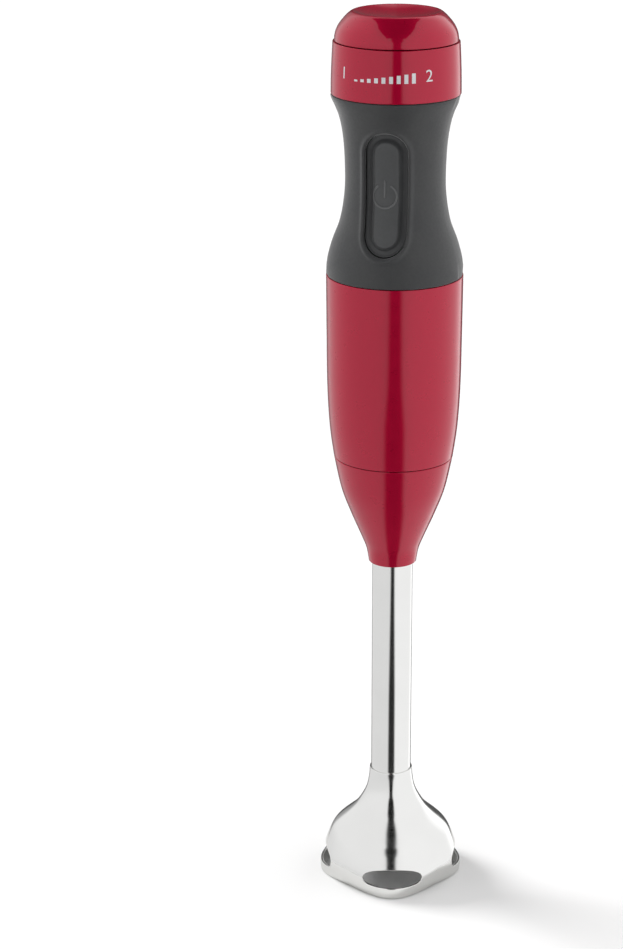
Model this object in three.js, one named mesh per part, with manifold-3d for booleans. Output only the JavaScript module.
// A two-speed immersion blender: a steel blending arm that twists and lifts out of a motor body.
// Millimetres, +Z up. The origin is on the axis, in the plane that the bell's rim stands on.
// The handle's front, with the power button, faces -Y, and the cord leaves the head at +Y.

import * as THREE from "three";
import { mergeVertices } from "three/addons/utils/BufferGeometryUtils.js";
import Module from "manifold-3d";

const kernel = await Module();
kernel.setup();

// ---------------------------------------------------------------- driving dimensions

const FIT = 0.3; // gap between pieces that touch
const RUN = 0.25; // radial gap round a shaft in its bush
const WALL = 2.2; // moulded shells
const ROUND = 28; // sides of a large round piece
const SMALL = 16; // sides of a small round piece
const BELL_SIDES = 48;
const GRIP_STEPS = 8; // rows of facets along the waisted grip
const deg = THREE.MathUtils.degToRad;

// Heights of the joints between the pieces that show, from the rim up.
const LEVEL = {
  bladeBottom: 12,
  bellTop: 54,
  tubeBottom: 36,
  collarBottom: 159.5,
  tubeTop: 176,
  seam: 211.7,
  gripBottom: 297.3,
  headBottom: 379.2,
  dialBottom: 402.5,
  dialRim: 415.4,
};

// Outer radii along the body, as [radius, height].
const COLLAR_OUTLINE = [[11.0, 159.5], [12.2, 166], [14.5, 172], [19.6, 184], [24.0, 196], [27.4, 211.7]];
const HOUSING_OUTLINE = [[27.4, 211.7], [29.3, 226], [30.4, 245], [30.75, 272], [30.95, 297.3]];
const GRIP_OUTLINE = [
  [30.95, 297.3], [30.5, 304], [28.3, 312.5], [24.8, 322], [22.8, 334],
  [22.5, 345], [23.3, 359], [25.3, 369.5], [28.7, 377.5], [28.9, 379.2],
];
const HEAD_OUTLINE = [[28.9, 379.2], [28.7, 390], [28.1, 402.5]];

// The bell: a trumpet-shaped dome that turns under between four feet, with a window above each foot.
const BELL = {
  outline: [
    [33.7, 0], [33.9, 4], [32.6, 9.5], [31.4, 14], [28.3, 22], [25.0, 26],
    [20.5, 30], [16.6, 34], [12.1, 42], [10.5, 49], [10.2, 54],
  ],
  wall: 1.3,
  feet: 4,
  turn: 13, // degrees from the handle's front to the first foot
  tuck: { depth: 5.5, height: 10, curve: 1.5, foot: 5, blunt: 1.2 }, // foot: half its width, degrees
  window: { halfWidth: 14.2, middle: 8.9, drop: 3.5, dropPower: 2.8, rise: 4.9, risePower: 2.3 },
};

const TUBE = { outer: 9.4, inner: 8.4 };
const SHAFT = { radius: 3.0, bottom: 9, top: 204 };
const BUSH = { outer: 5.3, inner: 3.0 + RUN };
const BLADE = { radius: 23, thickness: 1.2, rise: 4.2, drop: 3.4 };
const SPIGOT = { outer: 21.6, inner: 19.4, top: 226 };
const LUG = { count: 3, radius: 23.4, bottom: 217, top: 221.5, width: 20, twist: 30, play: 2 };
const JAW = { count: 2, inner: 3.3, outer: 7, width: 50, low: 206, high: 212.3, gap: 0.4 };
const MOTOR_SHAFT = { radius: 2.5, bottom: 214, top: 302 };
const STATOR = { bottom: 252, top: 276, bore: 13.6, halfX: 24, halfY: 23.5, corner: 14.5 };
const MOTOR_SCREW = { radius: 1.5, hole: 1.8, y: 20.2, bottom: 243, top: 297.5 };
const FAN_RADIUS = 17.2;
const BRUSH = { z: 287.5, width: 6, height: 5 };
const PAD = { z: 338, halfWidth: 9.3, halfHeight: 27.1, sink: 1.3, inner: 5.3, flange: 1.8 };
const PAD_RIM = { halfWidth: 12.0, halfHeight: 29.7, proud: 0.7 };
const DETENT = { low: 403, stops: [0, 40] }; // the dial's ring of notches, degrees
const CORD_INLET = { z: 390, bore: 3.4, neck: 5.0, flange: 6.2 };

// ---------------------------------------------------------------- materials

const finish = (color, roughness, metalness = 0) =>
  new THREE.MeshStandardMaterial({ color, roughness, metalness });

const MATERIAL = {
  redPlastic: finish(0x9c1030, 0.18),
  softGrip: finish(0x4b4e50, 0.62),
  brushedSteel: finish(0xd4d4d2, 0.26, 1),
  bladeSteel: finish(0xc9cacb, 0.2, 1),
  shaftSteel: finish(0xb4b6b8, 0.3, 1),
  blackPlastic: finish(0x1d1e20, 0.5),
  whitePlastic: finish(0xe6e4dd, 0.45),
  rubber: finish(0x222324, 0.85),
  bronze: finish(0xa77b42, 0.4, 1),
  copper: finish(0xb5602f, 0.35, 1),
  laminations: finish(0x6f7275, 0.5, 1),
  brass: finish(0xc9a34e, 0.3, 1),
  carbon: finish(0x2a2a2b, 0.7),
  springSteel: finish(0xa9abad, 0.3, 1),
  circuitBoard: finish(0x1f5a38, 0.5),
  aluminium: finish(0xb9bcc0, 0.4, 1),
};

// ---------------------------------------------------------------- solids from geometry

// A closed geometry as a manifold-3d solid with its faces pointing out.
function solid(geometry) {
  const bare = geometry.index ? geometry.toNonIndexed() : geometry.clone();
  bare.deleteAttribute("normal");
  bare.deleteAttribute("uv");
  const merged = mergeVertices(bare, 1e-4);
  const index = merged.index.array;
  const corners = [];
  for (let i = 0; i < index.length; i += 3) {
    const [a, b, c] = [index[i], index[i + 1], index[i + 2]];
    if (a !== b && b !== c && c !== a) corners.push(a, b, c);
  }
  const build = (list) =>
    new kernel.Manifold(
      new kernel.Mesh({
        numProp: 3,
        vertProperties: merged.attributes.position.array,
        triVerts: new Uint32Array(list),
      }),
    );
  const made = build(corners);
  if (made.volume() > 0) return made;
  return build(corners.map((_, i) => corners[i - (i % 3) + [0, 2, 1][i % 3]]));
}

function geometryOf(body) {
  const { numProp, vertProperties, numVert, triVerts } = body.getMesh();
  const position = new Float32Array(numVert * 3);
  for (let i = 0; i < numVert; i++) {
    position.set(vertProperties.subarray(i * numProp, i * numProp + 3), i * 3);
  }
  const geometry = new THREE.BufferGeometry();
  geometry.setAttribute("position", new THREE.BufferAttribute(position, 3));
  geometry.setIndex(new THREE.BufferAttribute(triVerts, 1));
  geometry.computeVertexNormals();
  return geometry;
}

// Turns a closed profile of [radius, height] about the Z axis.
function lathe(profile, sides = ROUND) {
  const points = [...profile, profile[0]].map(([r, z]) => new THREE.Vector2(r, z));
  return solid(new THREE.LatheGeometry(points, sides).rotateX(Math.PI / 2));
}

const ring = (outer, inner, low, high, sides = ROUND) =>
  lathe([[inner, low], [outer, low], [outer, high], [inner, high]], sides);

function cylinder(radius, low, high, sides = SMALL) {
  const shape = new THREE.CylinderGeometry(radius, radius, high - low, sides).rotateX(Math.PI / 2);
  return solid(shape.translate(0, 0, (low + high) / 2));
}

function box([x0, x1], [y0, y1], [z0, z1]) {
  const shape = new THREE.BoxGeometry(x1 - x0, y1 - y0, z1 - z0);
  return solid(shape.translate((x0 + x1) / 2, (y0 + y1) / 2, (z0 + z1) / 2));
}

const prism = (shape, height, curveSegments = 6) =>
  new THREE.ExtrudeGeometry(shape, { depth: height, bevelEnabled: false, curveSegments });

// A block between two radii and two angles in degrees.
function sector(inner, outer, from, to, low, high) {
  const shape = new THREE.Shape();
  shape.absarc(0, 0, outer, deg(from), deg(to), false);
  shape.absarc(0, 0, inner, deg(to), deg(from), true);
  return solid(prism(shape, high - low).translate(0, 0, low));
}

// A closed rod of round section along a curve.
function rod(curve, radius, steps, sides = 6) {
  const circle = new THREE.EllipseCurve(0, 0, radius, radius).getPoints(sides);
  const section = new THREE.Shape(circle.slice(0, -1));
  return solid(new THREE.ExtrudeGeometry(section, { steps, extrudePath: curve, bevelEnabled: false }));
}

class Helix extends THREE.Curve {
  constructor(radius, length, turns) {
    super();
    Object.assign(this, { radius, length, turns });
  }
  getPoint(t, target = new THREE.Vector3()) {
    const angle = 2 * Math.PI * this.turns * t;
    return target.set(this.radius * Math.cos(angle), this.radius * Math.sin(angle), this.length * t);
  }
}

const union = (first, ...others) => others.reduce((all, next) => all.add(next), first);
const cut = (first, ...tools) => tools.reduce((left, tool) => left.subtract(tool), first);

// count copies of a solid, evenly turned about Z.
const turned = (body, count) =>
  Array.from({ length: count }, (_, i) => body.rotate([0, 0, (360 / count) * i]));

// Points of an outline at the given heights, moved inwards.
function outlineAt(stations, inset, heights) {
  const curve = new THREE.SplineCurve(stations.map(([r, z]) => new THREE.Vector2(r, z)));
  const fine = curve.getPoints(40 * stations.length);
  return heights.map((z) => {
    const above = Math.max(1, fine.findIndex((p) => p.y >= z - 1e-6));
    const [a, b] = [fine[above - 1], fine[above]];
    return [THREE.MathUtils.mapLinear(z, a.y, b.y, a.x, b.x) - inset, z];
  });
}

const spread = (low, high, steps) =>
  Array.from({ length: steps + 1 }, (_, i) => low + ((high - low) * i) / steps);

// Heights from one end of an outline to the other, short of both ends by half the fit.
const inside = (stations, steps) =>
  spread(stations[0][1] + FIT / 2, stations[stations.length - 1][1] - FIT / 2, steps);

// The shell between two insets of an outline, shortened at both ends.
function shell(stations, outerInset, innerInset, steps) {
  const heights = inside(stations, steps);
  return lathe([
    ...outlineAt(stations, outerInset, heights),
    ...outlineAt(stations, innerInset, heights).reverse(),
  ]);
}

// A stadium outline, upright in X and Z, pushed along -Y from the axis.
function stadium(halfWidth, halfHeight, depth = 40) {
  const shape = new THREE.Shape();
  const straight = halfHeight - halfWidth;
  shape.absarc(0, straight, halfWidth, 0, Math.PI, false);
  shape.absarc(0, -straight, halfWidth, Math.PI, 2 * Math.PI, false);
  return solid(prism(shape, depth, 10).rotateX(Math.PI / 2).translate(0, 0, PAD.z));
}

function add(group, name, body, material, place = [0, 0, 0]) {
  const piece = new THREE.Mesh(geometryOf(body), material);
  piece.name = name;
  piece.position.set(...place);
  group.add(piece);
  return piece;
}

// ---------------------------------------------------------------- the blending arm

// How far the dome turns under at a height and at an angle from the middle of a foot.
function bellTuck(angle, z) {
  const { depth, height, curve, foot, blunt } = BELL.tuck;
  if (z >= height) return 0;
  const half = 180 / BELL.feet;
  const fromFoot = Math.abs(((THREE.MathUtils.radToDeg(angle) + 360 + half) % (2 * half)) - half);
  const along = Math.max(fromFoot - foot, 0) / (half - foot);
  return depth * Math.sin((along * Math.PI) / 2) ** blunt * (1 - z / height) ** curve;
}

function bellWindow() {
  const { halfWidth, middle, drop, dropPower, rise, risePower } = BELL.window;
  const steps = 20;
  const points = [];
  for (let i = 0; i < 2 * steps; i++) {
    const below = i < steps;
    const across = -Math.cos((i * Math.PI) / steps);
    const power = below ? dropPower : risePower;
    const height = (1 - Math.abs(across) ** power) ** (1 / power);
    points.push(new THREE.Vector2(halfWidth * across, middle + (below ? -drop : rise) * height));
  }
  return solid(prism(new THREE.Shape(points), 20, 5).rotateX(Math.PI / 2).translate(0, -20, 0));
}

function bellGuard() {
  const curve = new THREE.SplineCurve(BELL.outline.map(([r, z]) => new THREE.Vector2(r, z)));
  const rows = [0, 0.05, 0.1, 0.15, 0.21, 0.28, 0.36, 0.45, 0.55, 0.68, 0.84, 1];
  const outer = [];
  const inner = [];
  const socket = TUBE.outer + FIT;
  for (const row of rows) {
    const point = curve.getPoint(row);
    const along = curve.getTangent(row);
    outer.push([point.x, point.y]);
    const inside = [point.x - along.y * BELL.wall, point.y + along.x * BELL.wall];
    if (inside[0] > socket + 0.4) inner.unshift([inside[0], row === 0 ? 0 : inside[1]]);
  }
  inner.unshift([socket, LEVEL.tubeBottom + 6]);
  const profile = [...outer, [socket, LEVEL.bellTop], ...inner];
  const points = [...profile, profile[0]].map(([r, z]) => new THREE.Vector2(r, z));
  const skirt = new THREE.LatheGeometry(points, BELL_SIDES).rotateX(Math.PI / 2);
  const position = skirt.attributes.position;
  for (let i = 0; i < position.count; i++) {
    const [x, y, z] = [position.getX(i), position.getY(i), position.getZ(i)];
    const radius = Math.hypot(x, y);
    const scale = 1 - bellTuck(Math.atan2(x, -y), z) / radius;
    position.setXYZ(i, x * scale, y * scale, z);
  }
  return cut(solid(skirt), ...turned(bellWindow(), BELL.feet)).rotate([0, 0, BELL.turn]);
}

// The red cone: a close throat round the tube that opens to a bowl for the adapter.
function armCollar() {
  const socket = TUBE.outer + FIT;
  const top = LEVEL.seam - FIT / 2;
  return lathe([
    ...outlineAt(COLLAR_OUTLINE, 0, spread(LEVEL.collarBottom, top, 7)),
    ...outlineAt(COLLAR_OUTLINE, WALL, spread(171, top, 5)).reverse(),
    [socket, 169], [socket, LEVEL.collarBottom],
  ]);
}

// The moulded core of the cone: it holds the tube and the upper bush, and carries the bayonet.
function bayonetAdapter() {
  const shoulder = LEVEL.seam - 0.5;
  const seat = BUSH.outer + FIT;
  const foot = LEVEL.tubeTop + FIT;
  const body = lathe([
    [seat, foot],
    ...outlineAt(COLLAR_OUTLINE, WALL + 0.7, spread(foot, shoulder, 4)),
    [SPIGOT.outer, shoulder], [SPIGOT.outer, SPIGOT.top], [SPIGOT.inner, SPIGOT.top],
    [SPIGOT.inner, 206], [12.6, 181], [8.2, 181], [8.2, 195], [seat, 195],
  ]);
  const lug = sector(SPIGOT.outer - 0.6, LUG.radius, -LUG.width / 2, LUG.width / 2, LUG.bottom, LUG.top);
  return union(body, ...turned(lug, LUG.count));
}

function bearingCarrier() {
  const seat = BUSH.outer + FIT;
  const flange = LEVEL.tubeBottom - FIT;
  return lathe(
    [
      [seat, 33], [TUBE.outer, 33], [TUBE.outer, flange],
      [TUBE.inner - FIT, flange], [TUBE.inner - FIT, 52], [seat, 52],
    ],
    SMALL,
  );
}

function blendingArm() {
  const arm = new THREE.Group();
  const bush = (length) => ring(BUSH.outer, BUSH.inner, 0, length, SMALL);
  add(arm, "bell_guard", bellGuard(), MATERIAL.brushedSteel);
  add(arm, "arm_tube", ring(TUBE.outer, TUBE.inner, 0, LEVEL.tubeTop - LEVEL.tubeBottom),
    MATERIAL.brushedSteel, [0, 0, LEVEL.tubeBottom]);
  add(arm, "arm_collar", armCollar(), MATERIAL.redPlastic);
  add(arm, "bayonet_adapter", bayonetAdapter(), MATERIAL.blackPlastic);
  add(arm, "bearing_carrier", bearingCarrier(), MATERIAL.blackPlastic);
  add(arm, "shaft_seal", ring(BUSH.outer, BUSH.inner, 0, 3.2, SMALL), MATERIAL.rubber, [0, 0, 33.4]);
  add(arm, "lower_bush", bush(14), MATERIAL.bronze, [0, 0, 37]);
  add(arm, "upper_bush", bush(13), MATERIAL.bronze, [0, 0, 178]);
  return arm;
}

function collarSeal() {
  const seal = new THREE.Group();
  const band = ring(24.8, SPIGOT.outer + FIT, 0, 1.5);
  add(seal, "collar_seal", band, MATERIAL.rubber, [0, 0, LEVEL.seam - 0.2]);
  return seal;
}

// ---------------------------------------------------------------- the blade and its shaft

// A closed solid through sections of equal point counts.
function loft(sections) {
  const count = sections[0].length;
  const position = sections.flat(2);
  const index = [];
  for (let i = 0; i + 1 < sections.length; i++)
    for (let j = 0; j < count; j++) {
      const [a, b] = [i * count + j, i * count + ((j + 1) % count)];
      index.push(a, b, b + count, a, b + count, a + count);
    }
  const last = (sections.length - 1) * count;
  for (let j = 1; j + 1 < count; j++) index.push(0, j + 1, j, last, last + j, last + j + 1);
  const geometry = new THREE.BufferGeometry();
  geometry.setAttribute("position", new THREE.Float32BufferAttribute(position, 3));
  return solid(geometry.setIndex(index));
}

// An S-shaped blade, one wing bent up and the other down.
function blade() {
  // Half of the outline as [distance along the wing, cutting edge, back].
  const wing = [
    [0, -5, 5], [7, -5.3, 4.7], [11, -5.7, 4.1], [15, -5.9, 3.5],
    [18.5, -5.6, 2.6], [21.4, -4.6, 0.6], [23, -2.6, -1.4],
  ];
  const section = (along, edge, back, side) => {
    const bend = THREE.MathUtils.smoothstep(along, 7, BLADE.radius) * (side > 0 ? BLADE.rise : -BLADE.drop);
    const thin = along < 8 ? 0 : BLADE.thickness - 0.5;
    return [
      [side * along, side * edge, bend], [side * along, side * back, bend],
      [side * along, side * back, bend + BLADE.thickness],
      [side * along, side * edge, bend + BLADE.thickness - thin],
    ];
  };
  const flip = ([a, b, c, d]) => [b, a, d, c];
  const sections = [
    ...wing.slice(1).reverse().map((s) => flip(section(...s, -1))),
    ...wing.map((s) => section(...s, 1)),
  ];
  return cut(loft(sections), cylinder(SHAFT.radius + FIT, -1, 3));
}

function bladeNut() {
  const hex = new THREE.CylinderGeometry(5.2, 4.4, 4.4, 6).rotateX(Math.PI / 2).translate(0, 0, 2.2);
  return cut(solid(hex), cylinder(SHAFT.radius + FIT, 1.5, 6));
}

// A hub with jaws on one face: dir 1 puts them on top, dir -1 below.
function jawCoupling(hubLow, hubHigh, jawLow, jawHigh, boreLow, boreHigh, boreRadius) {
  const jaw = sector(JAW.inner + 0.3, JAW.outer, -JAW.width / 2, JAW.width / 2, jawLow, jawHigh);
  const hub = cylinder(JAW.outer, hubLow, hubHigh, 20);
  return cut(union(hub, ...turned(jaw, JAW.count)), cylinder(boreRadius, boreLow, boreHigh));
}

function bladeRotor() {
  const rotor = new THREE.Group();
  const shoulder = LEVEL.bladeBottom + BLADE.thickness + FIT;
  const shaft = union(
    cylinder(SHAFT.radius, SHAFT.bottom, SHAFT.top),
    cylinder(5, shoulder, shoulder + 4),
  );
  add(rotor, "blade_shaft", shaft, MATERIAL.shaftSteel);
  add(rotor, "blade", blade(), MATERIAL.bladeSteel, [0, 0, LEVEL.bladeBottom]);
  add(rotor, "blade_nut", bladeNut(), MATERIAL.shaftSteel, [0, 0, LEVEL.bladeBottom - FIT - 4.4]);
  add(rotor, "driven_coupling",
    jawCoupling(197, JAW.low, JAW.low - 0.5, JAW.high - JAW.gap, 196, SHAFT.top + FIT, SHAFT.radius + FIT),
    MATERIAL.whitePlastic);
  return rotor;
}

// ---------------------------------------------------------------- the motor

function bayonetSocket() {
  const body = lathe([
    [SPIGOT.outer + 0.4, 213.5], [25.0, 213.5], [26.0, 220], [26.6, 230],
    [8.5, 230], [8.5, 227.2], [SPIGOT.outer + 0.4, 227.2],
  ]);
  // Turning the motor body clockwise by the twist brings each lug to the other end of its channel.
  const half = LUG.width / 2;
  const [start, end] = [-half - LUG.play, half + LUG.twist + LUG.play];
  const channel = sector(SPIGOT.outer - 1, LUG.radius + 0.4, start, end, 213, 224);
  return cut(body, ...turned(channel, LUG.count));
}

const screwHoles = () =>
  [1, -1].map((side) =>
    cylinder(MOTOR_SCREW.hole, 200, 320, 12).translate([0, side * MOTOR_SCREW.y, 0]));

// Two blocks that stand between the bracket's disc and the stator, with the screws through them.
const posts = (low, high) => turned(box([-3.5, 3.5], [17.8, 22.6], [low, high]), 2);

function lowerBracket() {
  const disc = lathe([
    [4, 233.3], [9.5, 233.3], [9.5, 236], [23, 236], [23, 238.6], [9.5, 238.6],
    [9.5, 240.2], [7, 240.2], [7, 234.3], [4, 234.3],
  ], 24);
  return cut(union(disc, ...posts(238, STATOR.bottom - FIT)), ...screwHoles());
}

function upperBracket() {
  const disc = lathe([
    [7, 294.8], [7, 300], [9.5, 300], [9.5, 296.5], [23, 296.5], [23, 293.5], [4, 293.5], [4, 294.8],
  ], 24);
  const wireHole = cylinder(2, 290, 300, 8).translate([18, 0, 0]);
  return cut(union(disc, ...posts(STATOR.top + FIT, 294)), ...turned(wireHole, 2), ...screwHoles());
}

function bearing() {
  return ring(6.7, MOTOR_SHAFT.radius + RUN, 0, 5, 20);
}

function statorCore() {
  const { halfX, halfY, corner, bottom, top, bore } = STATOR;
  const shape = new THREE.Shape();
  for (const [sx, sy, from] of [[1, 1, 0], [-1, 1, 90], [-1, -1, 180], [1, -1, 270]])
    shape.absarc(sx * (halfX - corner), sy * (halfY - corner), corner, deg(from), deg(from + 90), false);
  const stack = solid(prism(shape, top - bottom, 4).translate(0, 0, bottom));
  const span = (near, far, side) => [near * side, far * side].sort((a, b) => a - b);
  const pockets = [1, -1].flatMap((x) => [1, -1].map((y) =>
    box(span(9.5, 19.6, x), span(8.5, 16, y), [bottom - 1, top + 1])));
  return cut(stack, cylinder(bore, bottom - 1, top + 1, ROUND), ...pockets, ...screwHoles());
}

// A coil wound round one pole: a rounded frame in Y and Z.
function fieldCoil() {
  const frame = (halfY, halfZ, radius) => {
    const path = new THREE.Shape();
    for (const [sy, sz, from] of [[1, 1, 0], [-1, 1, 90], [-1, -1, 180], [1, -1, 270]])
      path.absarc(sy * (halfY - radius), sz * (halfZ - radius), radius, deg(from), deg(from + 90), false);
    return path;
  };
  const halfStack = (STATOR.top - STATOR.bottom) / 2;
  const outline = frame(14.2, halfStack + 4.5, 4);
  outline.holes.push(frame(8.9, halfStack + 0.4, 0.5));
  // The frame is drawn in X and Y, and stands up with its thickness along X.
  return solid(prism(outline, 5, 3).rotateX(Math.PI / 2).rotateZ(Math.PI / 2));
}

function armatureCore() {
  const slots = 12;
  const slot = box([-0.9, 0.9], [8, 14], [STATOR.bottom - 1, STATOR.top + 1]);
  const stack = ring(STATOR.bore - 0.7, MOTOR_SHAFT.radius + FIT, STATOR.bottom, STATOR.top, 24);
  return cut(stack, ...turned(slot, slots));
}

const endTurns = () =>
  lathe([
    [MOTOR_SHAFT.radius + FIT, 0], [10, 0], [11.6, 1.4],
    [11.6, 3.2], [9.8, 4.6], [MOTOR_SHAFT.radius + FIT, 4.6],
  ], SMALL);

function commutator() {
  const segments = 12;
  const slit = box([-0.25, 0.25], [6.8, 9], [-1, 12]);
  return cut(ring(8, MOTOR_SHAFT.radius + FIT, 0, 9, 24), ...turned(slit, segments));
}

function coolingFan() {
  const vanes = 8;
  const vane = box([-0.5, 0.5], [6, FAN_RADIUS - 0.6], [1, 5.4]).rotate([0, 0, 18]);
  const disc = ring(FAN_RADIUS, MOTOR_SHAFT.radius + FIT, 0, 1.3, 24);
  const hub = ring(6.5, MOTOR_SHAFT.radius + FIT, 0, 5.4, SMALL);
  return union(disc, hub, ...turned(vane, vanes));
}

function armature() {
  const rotor = new THREE.Group();
  const shaft = cylinder(MOTOR_SHAFT.radius, MOTOR_SHAFT.bottom, MOTOR_SHAFT.top);
  add(rotor, "armature_shaft", shaft, MATERIAL.shaftSteel);
  add(rotor, "armature_core", armatureCore(), MATERIAL.laminations);
  add(rotor, "armature_winding_upper", endTurns(), MATERIAL.copper, [0, 0, STATOR.top + FIT]);
  const low = [0, 0, STATOR.bottom - FIT];
  const lower = add(rotor, "armature_winding_lower", endTurns(), MATERIAL.copper, low);
  lower.rotation.x = Math.PI;
  add(rotor, "commutator", commutator(), MATERIAL.copper, [0, 0, 283]);
  add(rotor, "cooling_fan", coolingFan(), MATERIAL.blackPlastic, [0, 0, 240.9]);
  const drive = jawCoupling(
    JAW.high, 226, JAW.low + JAW.gap, JAW.high + 0.5,
    MOTOR_SHAFT.bottom - FIT, 230, MOTOR_SHAFT.radius + FIT,
  );
  add(rotor, "drive_coupling", drive.rotate([0, 0, 180 / JAW.count]), MATERIAL.blackPlastic);
  return rotor;
}

function brushGear(motor, side, suffix) {
  const { width, height, z } = BRUSH;
  const holder = cut(
    box([0, 14], [-width / 2 - 1, width / 2 + 1], [-height / 2 - 1, height / 2 + 1]),
    box([-1, 13], [-width / 2 - FIT, width / 2 + FIT], [-height / 2 - FIT, height / 2 + FIT]),
  );
  const spring = rod(new Helix(1.8, 4.2, 3), 0.3, 24, 5);
  const facing = side > 0 ? 0 : Math.PI;
  const parts = [
    add(motor, `brush_holder_${suffix}`, holder, MATERIAL.brass, [side * 9.6, 0, z]),
    add(motor, `carbon_brush_${suffix}`, box([0, 8.6], [-width / 2, width / 2], [-height / 2, height / 2]),
      MATERIAL.carbon, [side * 8.3, 0, z]),
  ];
  for (const part of parts) part.rotation.z = facing;
  const coil = add(motor, `brush_spring_${suffix}`, spring, MATERIAL.springSteel, [side * 17.6, 0, z]);
  coil.rotation.set(0, side * (Math.PI / 2), 0);
}

function motor() {
  const group = new THREE.Group();
  add(group, "lower_damper", ring(23, 14, 0, 5.2), MATERIAL.rubber, [0, 0, 230.4]);
  add(group, "lower_bracket", lowerBracket(), MATERIAL.whitePlastic);
  add(group, "lower_bearing", bearing(), MATERIAL.shaftSteel, [0, 0, 234.6]);
  add(group, "stator_core", statorCore(), MATERIAL.laminations);
  const middle = (STATOR.bottom + STATOR.top) / 2;
  add(group, "field_coil_left", fieldCoil(), MATERIAL.copper, [-19.2, 0, middle]);
  add(group, "field_coil_right", fieldCoil(), MATERIAL.copper, [14.2, 0, middle]);
  add(group, "upper_bracket", upperBracket(), MATERIAL.whitePlastic);
  add(group, "upper_bearing", bearing(), MATERIAL.shaftSteel, [0, 0, 295.2]);
  add(group, "upper_damper", ring(25.8, 23 + FIT, 0, 3), MATERIAL.rubber, [0, 0, 293.5]);
  for (const [side, suffix] of [[1, "back"], [-1, "front"]]) {
    const screw = union(
      cylinder(MOTOR_SCREW.radius, MOTOR_SCREW.bottom, MOTOR_SCREW.top, 12),
      cylinder(3, MOTOR_SCREW.top - 0.6, MOTOR_SCREW.top + 1.6, 12),
    );
    add(group, `motor_screw_${suffix}`, screw, MATERIAL.springSteel, [0, side * MOTOR_SCREW.y, 0]);
  }
  brushGear(group, -1, "left");
  brushGear(group, 1, "right");
  return group;
}

// ---------------------------------------------------------------- shells of the motor body

// The front half of a stadium cut, so that a tool for the button leaves the back alone.
const padTool = (grow) => stadium(PAD.halfWidth + grow, PAD.halfHeight + grow);

function gripSleeve() {
  const skin = shell(GRIP_OUTLINE, 0, 2, GRIP_STEPS);
  const frontRim = cut(stadium(PAD_RIM.halfWidth, PAD_RIM.halfHeight), padTool(FIT));
  const rim = shell(GRIP_OUTLINE, -PAD_RIM.proud, 1, GRIP_STEPS).intersect(frontRim);
  return union(cut(skin, padTool(FIT)), rim);
}

function handleFrame() {
  const body = shell(GRIP_OUTLINE, 2 + FIT, 4, GRIP_STEPS);
  const skirt = ring(28.2, 26.2, 289, 299);
  return cut(union(body, skirt), padTool(0.8));
}

function headCollar() {
  const hole = solid(new THREE.CylinderGeometry(CORD_INLET.neck + FIT, CORD_INLET.neck + FIT, 20, SMALL));
  return cut(shell(HEAD_OUTLINE, 0, WALL, 2), hole.translate([0, 30, CORD_INLET.z]));
}

// The plate that closes the head, with the ring that the dial turns on.
function headPlate() {
  return lathe([
    [2.5, 396], [25.4, 396], [25.4, 399.5], [21, 399.5],
    [21, 404], [19.4, 404], [19.4, 399.5], [2.5, 399.5],
  ]);
}

function cordGland() {
  const { bore, neck, flange } = CORD_INLET;
  const bush = lathe([
    [bore, 23], [neck, 23], [neck, 29], [flange, 29],
    [flange, 29.8], [flange - 0.8, 30.6], [bore, 30.6],
  ], SMALL);
  return bush.rotate([-90, 0, 0]);
}

function motorBody() {
  const body = new THREE.Group();
  add(body, "motor_housing", shell(HOUSING_OUTLINE, 0, WALL, 5), MATERIAL.redPlastic);
  add(body, "bayonet_socket", bayonetSocket(), MATERIAL.blackPlastic);
  add(body, "handle_frame", handleFrame(), MATERIAL.blackPlastic);
  add(body, "grip_sleeve", gripSleeve(), MATERIAL.softGrip);
  add(body, "head_collar", headCollar(), MATERIAL.redPlastic);
  add(body, "head_plate", headPlate(), MATERIAL.blackPlastic);
  add(body, "cord_gland", cordGland(), MATERIAL.rubber, [0, 0, CORD_INLET.z]);
  return body;
}

// ---------------------------------------------------------------- switches and electronics

// Channel-shaped holder behind the button: it carries the switch and both springs.
function switchHolder() {
  const face = box([-8, 8], [-11.2, -9.6], [313, 361]);
  const sides = [-8, 6.4].map((x) => box([x, x + 1.6], [-10.5, 1.6], [313, 361]));
  return cut(union(face, ...sides), box([-3.6, 3.6], [-13, -9], [330.5, 343.5]));
}

// The lead from the board to a brush holder.
function brushLead(side) {
  const route = [[8, 5, 303], [13, 4.6, 302], [17.4, 1.6, 300.4], [18, 0, 297], [18, 0, 291.9]];
  const points = route.map(([x, y, z]) => new THREE.Vector3(side * x, y, z));
  return rod(new THREE.CatmullRomCurve3(points), 0.8, 9);
}

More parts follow.
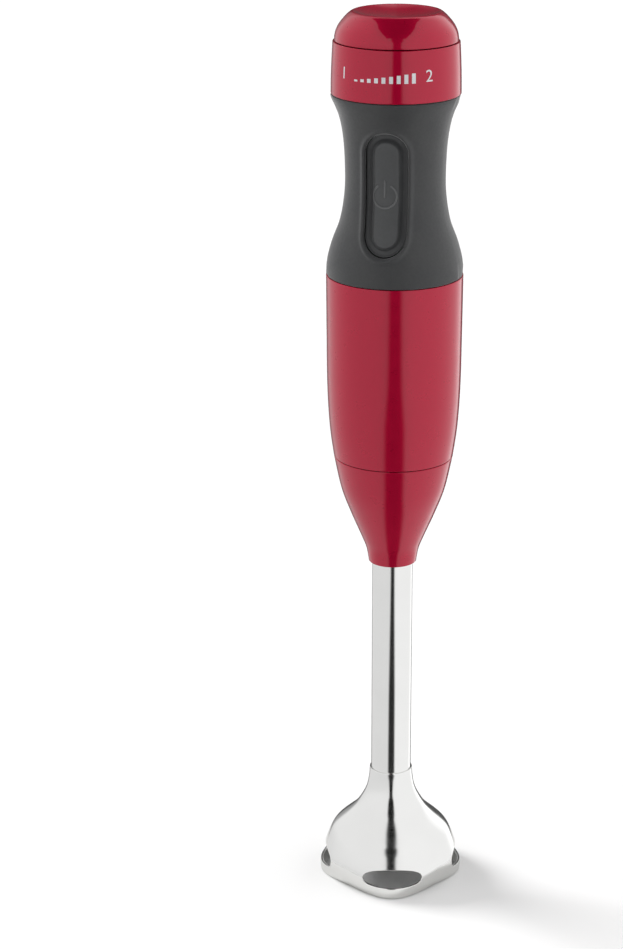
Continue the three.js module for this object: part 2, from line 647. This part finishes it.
function electrics() {
  const group = new THREE.Group();
  add(group, "control_board", box([-13, 13], [2, 3.6], [304, 368]), MATERIAL.circuitBoard);
  add(group, "capacitor", box([-7, 7], [0, 6.5], [0, 12]), MATERIAL.whitePlastic, [0, 3.9, 350]);
  const sink = union(
    box([-9, 9], [0, 1.4], [0, 22]),
    ...[-8, -4, 0, 4, 8].map((x) => box([x - 0.6, x + 0.6], [1, 7], [0, 22])),
  );
  add(group, "heat_sink", sink, MATERIAL.aluminium, [0, 3.9, 318]);
  add(group, "switch_holder", switchHolder(), MATERIAL.blackPlastic);
  const plungerHole = solid(new THREE.CylinderGeometry(2, 2, 5.6, 12)).translate([0, -10, PAD.z]);
  const powerSwitch = cut(box([-3.2, 3.2], [-11.8, -1], [331, 343]), plungerHole);
  add(group, "power_switch", powerSwitch, MATERIAL.blackPlastic);
  const speedSwitch = cut(cylinder(9, 385.7, 395.7, 20), cylinder(2.4, 388, 397, 12));
  add(group, "speed_switch", speedSwitch, MATERIAL.blackPlastic);
  const leaf = rod(
    new THREE.CatmullRomCurve3([
      [-7, 12, 400.2], [-3, 13, 400.6], [0, 13.4, 402.2], [3, 13, 400.6], [7, 12, 400.2],
    ].map((p) => new THREE.Vector3(...p))),
    0.35, 12,
  );
  add(group, "detent_spring", leaf, MATERIAL.springSteel);
  add(group, "brush_lead_left", brushLead(-1), MATERIAL.rubber);
  add(group, "brush_lead_right", brushLead(1), MATERIAL.rubber);
  return group;
}

// ---------------------------------------------------------------- the dial and the button

// A domed knob with a shallow dish in its top and a boss for its spindle.
function speedDial() {
  const base = LEVEL.dialBottom + FIT / 2;
  const rim = LEVEL.dialRim;
  const knob = lathe([
    [27.5, base], [27.3, base + 2.2], [26.7, base + 4.4], [25.5, base + 6.2], [24.1, base + 8.0],
    [22.7, rim - 3.3], [21.5, rim - 1.6], [20.5, rim - 0.4], [19.6, rim], [18.4, rim - 0.5],
    [14, rim - 1.8], [7, rim - 2.8], [0, rim - 3.1],
    [0, rim - 5.6], [2.3, rim - 5.6], [2.3, rim - 9.5], [4.6, rim - 9.5], [4.6, rim - 5.4],
    [11.5, rim - 4.6], [11.5, DETENT.low], [15, DETENT.low], [15, rim - 4],
    [18.6, rim - 3.2], [20.4, rim - 4.2], [23, base + 5.4], [24.9, base + 2.5], [25.3, base],
  ]);
  const notch = box([-1.4, 1.4], [10, 16], [DETENT.low - 1, DETENT.low + 1.2]);
  return cut(knob, ...DETENT.stops.map((angle) => notch.rotate([0, 0, -angle])));
}

function dial() {
  const group = new THREE.Group();
  add(group, "speed_dial", speedDial(), MATERIAL.redPlastic);
  add(group, "dial_spindle", cylinder(2, 388.5, LEVEL.dialRim - 6, 12), MATERIAL.whitePlastic);
  return group;
}

function powerButton() {
  const group = new THREE.Group();
  const face = shell(GRIP_OUTLINE, PAD.sink, PAD.inner, GRIP_STEPS).intersect(padTool(0));
  const flange = shell(GRIP_OUTLINE, 4 + FIT, PAD.inner, GRIP_STEPS).intersect(padTool(PAD.flange));
  add(group, "power_button", union(face, flange), MATERIAL.softGrip);
  const plunger = solid(new THREE.CylinderGeometry(1.5, 1.5, 5.3, 12)).translate([0, -12.35, PAD.z]);
  const carrier = union(box([-5.5, 5.5], [-16, -14.6], [316, 360]), plunger);
  add(group, "button_carrier", carrier, MATERIAL.whitePlastic);
  for (const [z, suffix] of [[322, "lower"], [352, "upper"]]) {
    const spring = add(group, `button_spring_${suffix}`, rod(new Helix(2.2, 1.9, 2), 0.3, 18, 5),
      MATERIAL.springSteel, [0, -11.95, z]);
    spring.rotation.x = Math.PI / 2;
  }
  return group;
}

// ---------------------------------------------------------------- the blender

const blender = new THREE.Group();
blender.add(blendingArm(), bladeRotor(), collarSeal());
blender.add(motorBody(), motor(), armature(), electrics(), dial(), powerButton());

export default blender;
